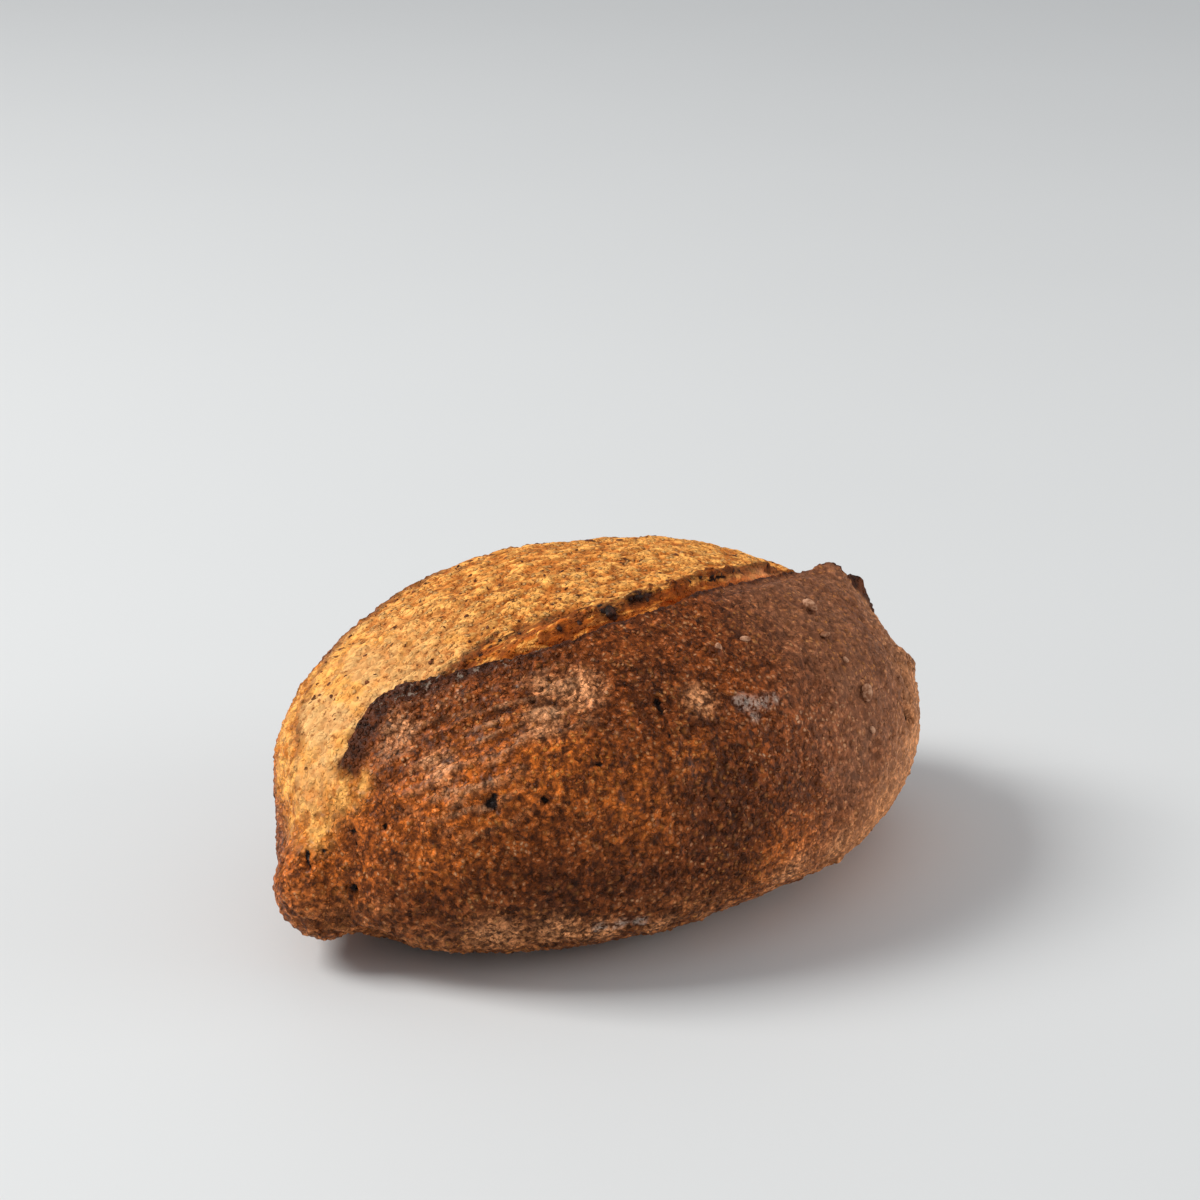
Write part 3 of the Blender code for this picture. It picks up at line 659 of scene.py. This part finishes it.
def crustFinish(c):
    f = Finish("crustFinish")
    opened, strip, burn, ridge, far, rim, under = (
        f.mark(n) for n in ("opened", "strip", "burn", "ridge", "far", "rim", "under"))
    low, calm, height, pits, hollow, nearCrumbs, wrinkle = (
        f.mark(n) for n in ("low", "calm", "height", "pits", "hollow", "nearCrumbs", "wrinkle"))
    golden, orange, pale, dusty, darkerPatches, flour = (
        f.mark(n) for n in ("golden", "orange", "pale", "dusty", "darkerPatches", "flour"))
    along = f.axis(0)
    grainScale, blisterScale, bend = 560, 340, 0.0016
    wobble = f.node("ShaderNodeTexNoise", {}, Vector=f.place(), Scale=300, Detail=2.0, out=1)
    bent = f.node("ShaderNodeVectorMath", {"operation": "MULTIPLY_ADD"}, wobble, (bend, bend, bend),
                  f.place())
    broad = f.cloudy(16, 3)
    patch = f.cloudy(62, 4, 0.6)
    mottle = f.cloudy(190, 4, 0.62)
    fine = f.cloudy(520, 3, 0.65)
    grit = f.cloudy(1300, 2, 0.6)
    # grains of crust a little under two millimetres apart, each with its own draw
    grains = f.cells(grainScale, at=bent, Randomness=1.0)
    draw = f.node("ShaderNodeSeparateColor", {}, f.cells(grainScale, at=bent, out=1, Randomness=1.0))
    bead = 1 - grains.between(0.18, 0.50)
    blister = f.cells(blisterScale, at=bent, Randomness=1.0)
    chosen = f.node("ShaderNodeSeparateColor", {}, f.cells(blisterScale, at=bent, out=1, Randomness=1.0))
    dome = (1 - blister.between(0.10, 0.52)) * chosen.between(0.40, 0.75)
    lively = 1 - 0.50 * calm

    # the dark side: deep brown, mottled, with small golden blisters, calmer and greyer towards the far end
    side = f.mix(c["brown"], c["russet"], broad.between(0.36, 0.60))
    side = f.mix(side, c["ember"], (orange * (0.45 + 0.80 * mottle.between(0.36, 0.60))).least(1.0) * 0.90)
    side = f.mix(side, c["clay"], calm * (0.65 + 0.35 * patch.between(0.38, 0.62)))
    side = f.mix(side, c["dust"], (dusty * (0.75 + 0.5 * mottle.between(0.40, 0.60))).least(1.0))
    dark = patch.between(0.50, 0.68) * 0.34 * lively + darkerPatches * (0.42 + 0.4 * mottle.between(0.40, 0.60))
    dark = dark.least(0.9)
    side = f.mix(side, c["umber"], dark * (1 - dusty) * (1 - golden) * (1 - 0.5 * orange))
    side = f.mix(side, c["dust"], pale * (0.35 + 0.65 * fine.between(0.40, 0.60)))
    # tan low on the loaf, more to the right: a paler foot and painted light bounced from the table
    bounceLightAndPaleFoot = low * (0.14 + 0.40 * mottle.between(0.40, 0.60)) * (1 - 0.7 * darkerPatches)
    bounceLightAndPaleFoot = bounceLightAndPaleFoot * (0.75 + 1.0 * along.between(-0.04, 0.05))
    side = f.mix(side, c["tan"], bounceLightAndPaleFoot.least(0.8))
    speckle = (0.46 + 1.15 * fine.between(0.34, 0.66)) * (0.84 + 0.42 * mottle.between(0.38, 0.62))
    speckle = speckle * (0.46 + 1.20 * draw)
    # each grain darker towards its border, the low ground of the bump: painted shade between the grains
    side = f.tint(side, 1 + lively * (speckle * (1.48 - 0.66 * grains.between(0.28, 0.60)) - 1))
    side = f.mix(side, c["glow"], rim * (0.35 + 0.65 * mottle.between(0.42, 0.60)) * 0.8)
    # pale grain tops, partly painted glints where the light catches them
    beadsAndGlints = bead * draw.between(0.35, 0.80) * (0.25 + 0.75 * patch.between(0.64, 0.44))
    beadsAndGlints = beadsAndGlints * (0.40 + 0.60 * mottle.between(0.40, 0.60))
    beadAndGlintColour = f.mix(c["glow"], c["biscuit"], (broad.between(0.36, 0.54) * (1 - 0.45 * orange)).most(pale))
    side = f.mix(side, c["amber"], dome * mottle.between(0.36, 0.58) * 0.50 * (1 - dusty * 0.7) * lively)
    side = f.mix(side, beadAndGlintColour, beadsAndGlints * 0.95 * (1 - 0.3 * darkerPatches) * (0.4 + 0.6 * lively))
    # umber where the relief is low: painted shade in the dips
    paintedShadeInDips = (1 - height.between(0.20, 0.50)) * 0.45 * (1 - golden) * (1 - 0.5 * orange) * lively
    side = f.mix(side, c["umber"], paintedShadeInDips)
    # biscuit along the raised wrinkles: painted highlight on their crests
    wrinkleHighlights = wrinkle * (0.20 + 0.50 * fine.between(0.42, 0.58)) * (0.4 + 0.6 * patch.between(0.42, 0.58))
    side = f.mix(side, c["biscuit"], wrinkleHighlights)
    glow = f.mix(c["gold"], c["amber"], mottle.between(0.40, 0.58).most(1 - golden))
    glow = f.tint(glow, 0.62 + 0.55 * draw + 0.25 * bead)
    side = f.mix(side, f.tint(glow, 0.80 + 0.45 * fine.between(0.34, 0.66)), (golden * 1.3).least(1.0))

    # the bloom: pale gold with brown freckles and fine cracks, plainer towards the nose
    rougher = 0.35 + 0.65 * along.between(-0.095, -0.030)
    grain = f.cloudy(240, 4, 0.62, at=f.stretched((0.55, 1, 1)))
    bloom = f.mix(c["straw"], c["gold"], along.between(-0.100, -0.030).most(patch.between(0.45, 0.62)))
    bloom = f.mix(bloom, c["amber"], grain.between(0.44, 0.60) * 0.60 * rougher)
    bloom = f.mix(bloom, c["ember"], fine.between(0.47, 0.61) * 0.66 * rougher)
    # ember where the relief is low: painted shade in the bloom's cracks and dips
    bloom = f.mix(bloom, c["ember"], (1 - height.between(0.30, 0.52)) * 0.72 * rougher)
    bloom = f.tint(bloom, 1 + (0.4 + 0.6 * rougher) * (0.86 * draw - 0.40))
    # straw on some grains: painted highlight on their tops
    bloom = f.mix(bloom, c["straw"], bead * (1 - draw).between(0.60, 0.90) * 0.70)
    bloom = f.mix(bloom, c["russet"], fine.between(0.60, 0.68) * 0.75)
    bloom = f.mix(bloom, c["umber"], f.cloudy(260, 2, 0.5).between(0.69, 0.72) * 0.85)
    bloom = f.mix(bloom, c["russet"], far * (0.35 + 0.65 * mottle.between(0.40, 0.55)) * 0.80)
    bloom = f.mix(bloom, c["char"], far * f.cloudy(330, 2, 0.5).between(0.60, 0.64) * 0.9)

    # the torn strip: orange brown, streaked along its length
    streak = f.cloudy(340, 3, 0.6, at=f.stretched((0.13, 1, 1)))
    shred = f.cloudy(420, 4, 0.65, at=f.stretched((0.22, 1, 1)))
    torn = f.mix(c["amber"], c["ember"], streak.between(0.42, 0.56))
    torn = f.mix(torn, c["gold"], streak.between(0.48, 0.38) * 0.6)
    torn = f.mix(torn, c["russet"], shred.between(0.45, 0.53) * 0.85)
    torn = f.mix(torn, c["dust"], along.between(0.020, 0.070) * (0.40 + 0.30 * streak.between(0.56, 0.44)))
    torn = f.tint(torn, (1.02 + 0.65 * fine.between(0.36, 0.64)) * (1 + 0.60 * along.between(0.010, 0.060)))
    # brown where the relief is low: painted shade in the strip's hollows
    torn = f.mix(torn, c["brown"], (1 - height.between(0.20, 0.50)) * 0.55)
    bloom = f.mix(bloom, torn, strip)
    crags = f.mix(c["umber"], c["russet"], fine.between(0.40, 0.62))
    bloom = f.mix(bloom, crags, ridge * shred.between(0.38, 0.48).most(along.between(0.010, 0.040)) * 0.85)
    # char around each crumb: darker around the crumbs
    bloom = f.mix(bloom, c["char"], nearCrumbs * (0.55 + 0.45 * fine.between(0.40, 0.56)))

    # over both: what is burnt, the painted shadow beside each kernel and the painted shade in pits and
    # creases, what stands on the table, and what is floured
    skin = f.mix(side, bloom, opened)
    scorch = f.mix(c["char"], c["umber"], fine.between(0.32, 0.52))
    scorch = f.mix(scorch, c["brown"], mottle.between(0.48, 0.62) * 0.9)
    # grey flecks on the burnt lip: ash and painted glossy highlight
    lit = along.between(-0.102, -0.088) * (1 - along.between(-0.058, -0.042)) * fine.between(0.56, 0.66)
    scorch = f.mix(scorch, c["ashAndHighlight"], lit * 0.75)
    skin = f.mix(skin, scorch, (burn * (0.75 + 0.7 * mottle)).least(0.97))
    # umber beside each kernel: painted shadow cast by the kernel
    skin = f.mix(skin, c["umber"], hollow * 0.75)
    # char in the pits, burnt spots with painted shade in their hollows, and painted shade along the creases
    # and cracks
    skin = f.mix(skin, c["char"], pits.between(0.30, 0.80))
    skin = f.mix(skin, c["tan"], under * (0.35 + 0.65 * fine.between(0.40, 0.60)) * 0.70)
    skin = f.mix(skin, c["flour"], under.between(0.45, 1.0) * mottle.between(0.50, 0.60) * 0.6)
    skin = f.mix(skin, c["flour"], flour * (fine.between(0.40, 0.56) * 0.55 + bead * 0.45).least(0.8))

    # relief finer than the mesh, roughness and the shine of the blisters
    rise = bead * 0.8 + dome * 0.8 * (1 - opened) + fine * 0.5 + grit * 0.25 + grain * 0.4 * opened * rougher
    rise = rise * (1 - 0.65 * opened.most(golden) * (1.1 - rougher)) * (1 - 0.4 * calm)
    bump = f.node("ShaderNodeBump", {}, Strength=0.90, Distance=0.0012, Height=rise)
    rough = 0.42 + 0.26 * opened + 0.16 * under + 0.16 * calm
    gloss = (1 - opened) * (dome * 0.2).most(orange * 0.12).most(beadsAndGlints * 0.25)
    gloss = gloss * (1 - under) * (1 - burn) * (1 - 0.8 * calm)
    f.feed(Specular_IOR_Level=0.10, Coat_Roughness=0.28)
    return f.feed(Base_Color=skin, Roughness=rough, Coat_Weight=gloss, Normal=bump)


crust = addCrust(crustSetup)
crust.data.materials.append(crustFinish(crustColours))
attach(crust, "root")
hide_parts("loaf")

# what is caught in the crust: every kind is one lump, copied, laid along the crust and joined into one piece;
# knobs says how knobbly it is, and sunk how deep it lies, as a share of its length
caught = {
    "crumbs": {                 # charred, along the torn ridge
        "detail": 3, "shape": (1.0, 0.80, 0.60), "knobs": 0.55, "sunk": 0.14, "seed": 4,
        "places": crumbPlaces,
    },
    "seeds": {                  # whole kernels baked into the dark side
        "detail": 3, "shape": (1.0, 0.58, 0.50), "knobs": 0.14, "sunk": -0.08, "seed": 9,
        "places": seedPlaces,
    },
    "flecks": {                 # bran, small and flat, on the bloom and along its far rim
        "detail": 2, "shape": (1.0, 0.70, 0.34), "knobs": 0.30, "sunk": 0.02, "seed": 21,
        "places": [(-0.0491, 0.0418, 0.0963, 0.0016), (-0.0432, 0.0545, 0.0938, 0.0024),
                   (-0.0066, 0.0595, 0.0988, 0.0022), (-0.0065, 0.0397, 0.1052, 0.0020),
                   (0.0021, 0.0365, 0.1064, 0.0014), (0.0089, 0.0350, 0.1063, 0.0016),
                   (0.0276, 0.0346, 0.1049, 0.0042), (0.0355, 0.0276, 0.1053, 0.0030),
                   (0.0380, 0.0006, 0.1068, 0.0018), (-0.0374, 0.0420, 0.0997, 0.0016),
                   (-0.0421, 0.0218, 0.1028, 0.0014), (-0.0279, 0.0153, 0.1067, 0.0018),
                   (-0.0072, 0.0088, 0.1090, 0.0034), (0.0206, -0.0005, 0.1089, 0.0020),
                   (-0.0007, -0.0046, 0.1094, 0.0016), (-0.0761, 0.0269, 0.0900, 0.0020),
                   (-0.0851, 0.0258, 0.0855, 0.0014), (-0.0940, 0.0193, 0.0809, 0.0016),
                   (-0.0842, -0.0123, 0.0954, 0.0020), (-0.0239, -0.0116, 0.1079, 0.0018),
                   (-0.0404, -0.0110, 0.1047, 0.0014), (-0.0571, -0.0057, 0.1002, 0.0018),
                   (-0.0114, -0.0225, 0.1080, 0.0020), (0.0179, -0.0141, 0.1088, 0.0016),
                   (0.0430, -0.0063, 0.1053, 0.0018), (0.0707, 0.0060, 0.0972, 0.0022),
                   (0.0798, 0.0027, 0.0938, 0.0016)],
        "rim": 64, "bloom": 52, "size": (0.0007, 0.0020),
    },
}


# bran strewn over the bloom is dropped onto it from this height
dropFrom = 0.112


def lumpOf(kind, own):
    # one lump a unit long, knobbly, wider than it is high
    bpy.ops.object.select_all(action="DESELECT")
    bpy.ops.mesh.primitive_ico_sphere_add(subdivisions=own["detail"], radius=0.5)
    lump = bpy.context.object
    lump.name = kind
    co = spots(lump)
    swell = 1 + own["knobs"] * cloud(co, 0.45, own["seed"])
    swell += 0.5 * own["knobs"] * cloud(co, 0.18, own["seed"] + 5)
    moveSpots(lump, co * swell[:, None] * np.array(own["shape"]))
    onlySelect(lump)
    bpy.ops.object.shade_smooth()
    return lump


def morePlaces(own, draw):
    # small ones strewn by chance along the far rim and over the bloom
    places = list(own["places"])
    for _ in range(own.get("rim", 0)):
        x = draw.uniform(-0.100, 0.070)
        y, z = (float(v) for v in lineAt(farEdge, x))
        places.append((x, y + draw.uniform(-0.004, 0.003), z + 0.001, draw.uniform(*own["size"])))
    for _ in range(own.get("bloom", 0)):
        x = draw.uniform(-0.100, 0.085)
        nearY, farY = float(lineAt(ridgeLine, x)[0]), float(lineAt(farEdge, x)[0])
        y = nearY + (farY - nearY) * draw.uniform(0.05, 0.95)
        places.append((x, y, dropFrom, draw.uniform(*own["size"])))
    return places


def addCaught(kind, own, skin):
    draw = random.Random(own["seed"])
    lump = lumpOf(kind, own)
    copies = []
    for x, y, z, length in morePlaces(own, draw):
        place, normal = skin.find_nearest(Vector((x, y, z)))[:2]
        if z >= dropFrom:
            place, normal = skin.ray_cast(Vector((x, y, z + 0.01)), Vector((0, 0, -1)))[:2]
        lie = normal.to_track_quat("Z", "X").to_matrix().to_4x4()
        lie = lie @ Matrix.Rotation(draw.uniform(0, math.tau), 4, "Z")
        lie = lie @ Matrix.Rotation(draw.uniform(-0.3, 0.3), 4, "X")
        wide, high = draw.uniform(0.85, 1.15), draw.uniform(0.85, 1.15)
        size = Matrix.Diagonal((length, length * wide, length * high, 1))
        one = lump.copy()
        one.data = lump.data.copy()
        bpy.context.scene.collection.objects.link(one)
        one.matrix_world = Matrix.Translation(place - normal * own["sunk"] * length) @ lie @ size
        copies.append(one)
    bpy.data.objects.remove(lump)
    bpy.ops.object.select_all(action="DESELECT")
    for one in copies:
        one.select_set(True)
    bpy.context.view_layer.objects.active = copies[0]
    bpy.ops.object.transform_apply(location=True, rotation=True, scale=True)
    bpy.ops.object.join()
    piece = bpy.context.object
    piece.name = kind
    print(kind, "laid:", len(copies))
    return piece


# finish of what is caught in the crust: colour of the body, colour painted as shade in its hollows, roughness
caughtColours = {
    "crumbs": ((0.060, 0.0200, 0.0100), (0.011, 0.0055, 0.0040), 0.42),
    "seeds": ((0.600, 0.320, 0.190), (0.260, 0.100, 0.0450), 0.50),
    "flecks": ((0.240, 0.078, 0.0240), (0.075, 0.0220, 0.0085), 0.55),
}


def caughtFinish(kind, body, hollow, rough):
    f = Finish(kind + "Finish")
    fine = f.cloudy(900, 3, 0.6)
    patch = f.cloudy(240, 2, 0.5)
    # darker where the bump is low: painted shade in the dips, mixed with random patches
    colour = f.mix(hollow, body, (fine * 0.6 + patch * 0.4).between(0.40, 0.60))
    bump = f.node("ShaderNodeBump", {}, Strength=0.6, Distance=0.0004, Height=fine)
    f.feed(Specular_IOR_Level=0.15)
    return f.feed(Base_Color=colour, Roughness=rough + 0.2 * fine, Normal=bump)


crustSkin = BVHTree.FromPolygons([v.co for v in crust.data.vertices],
                                 [p.vertices for p in crust.data.polygons])
for kind, own in caught.items():
    piece = addCaught(kind, own, crustSkin)
    piece.data.materials.append(caughtFinish(kind, *caughtColours[kind]))
    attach(piece, "root")
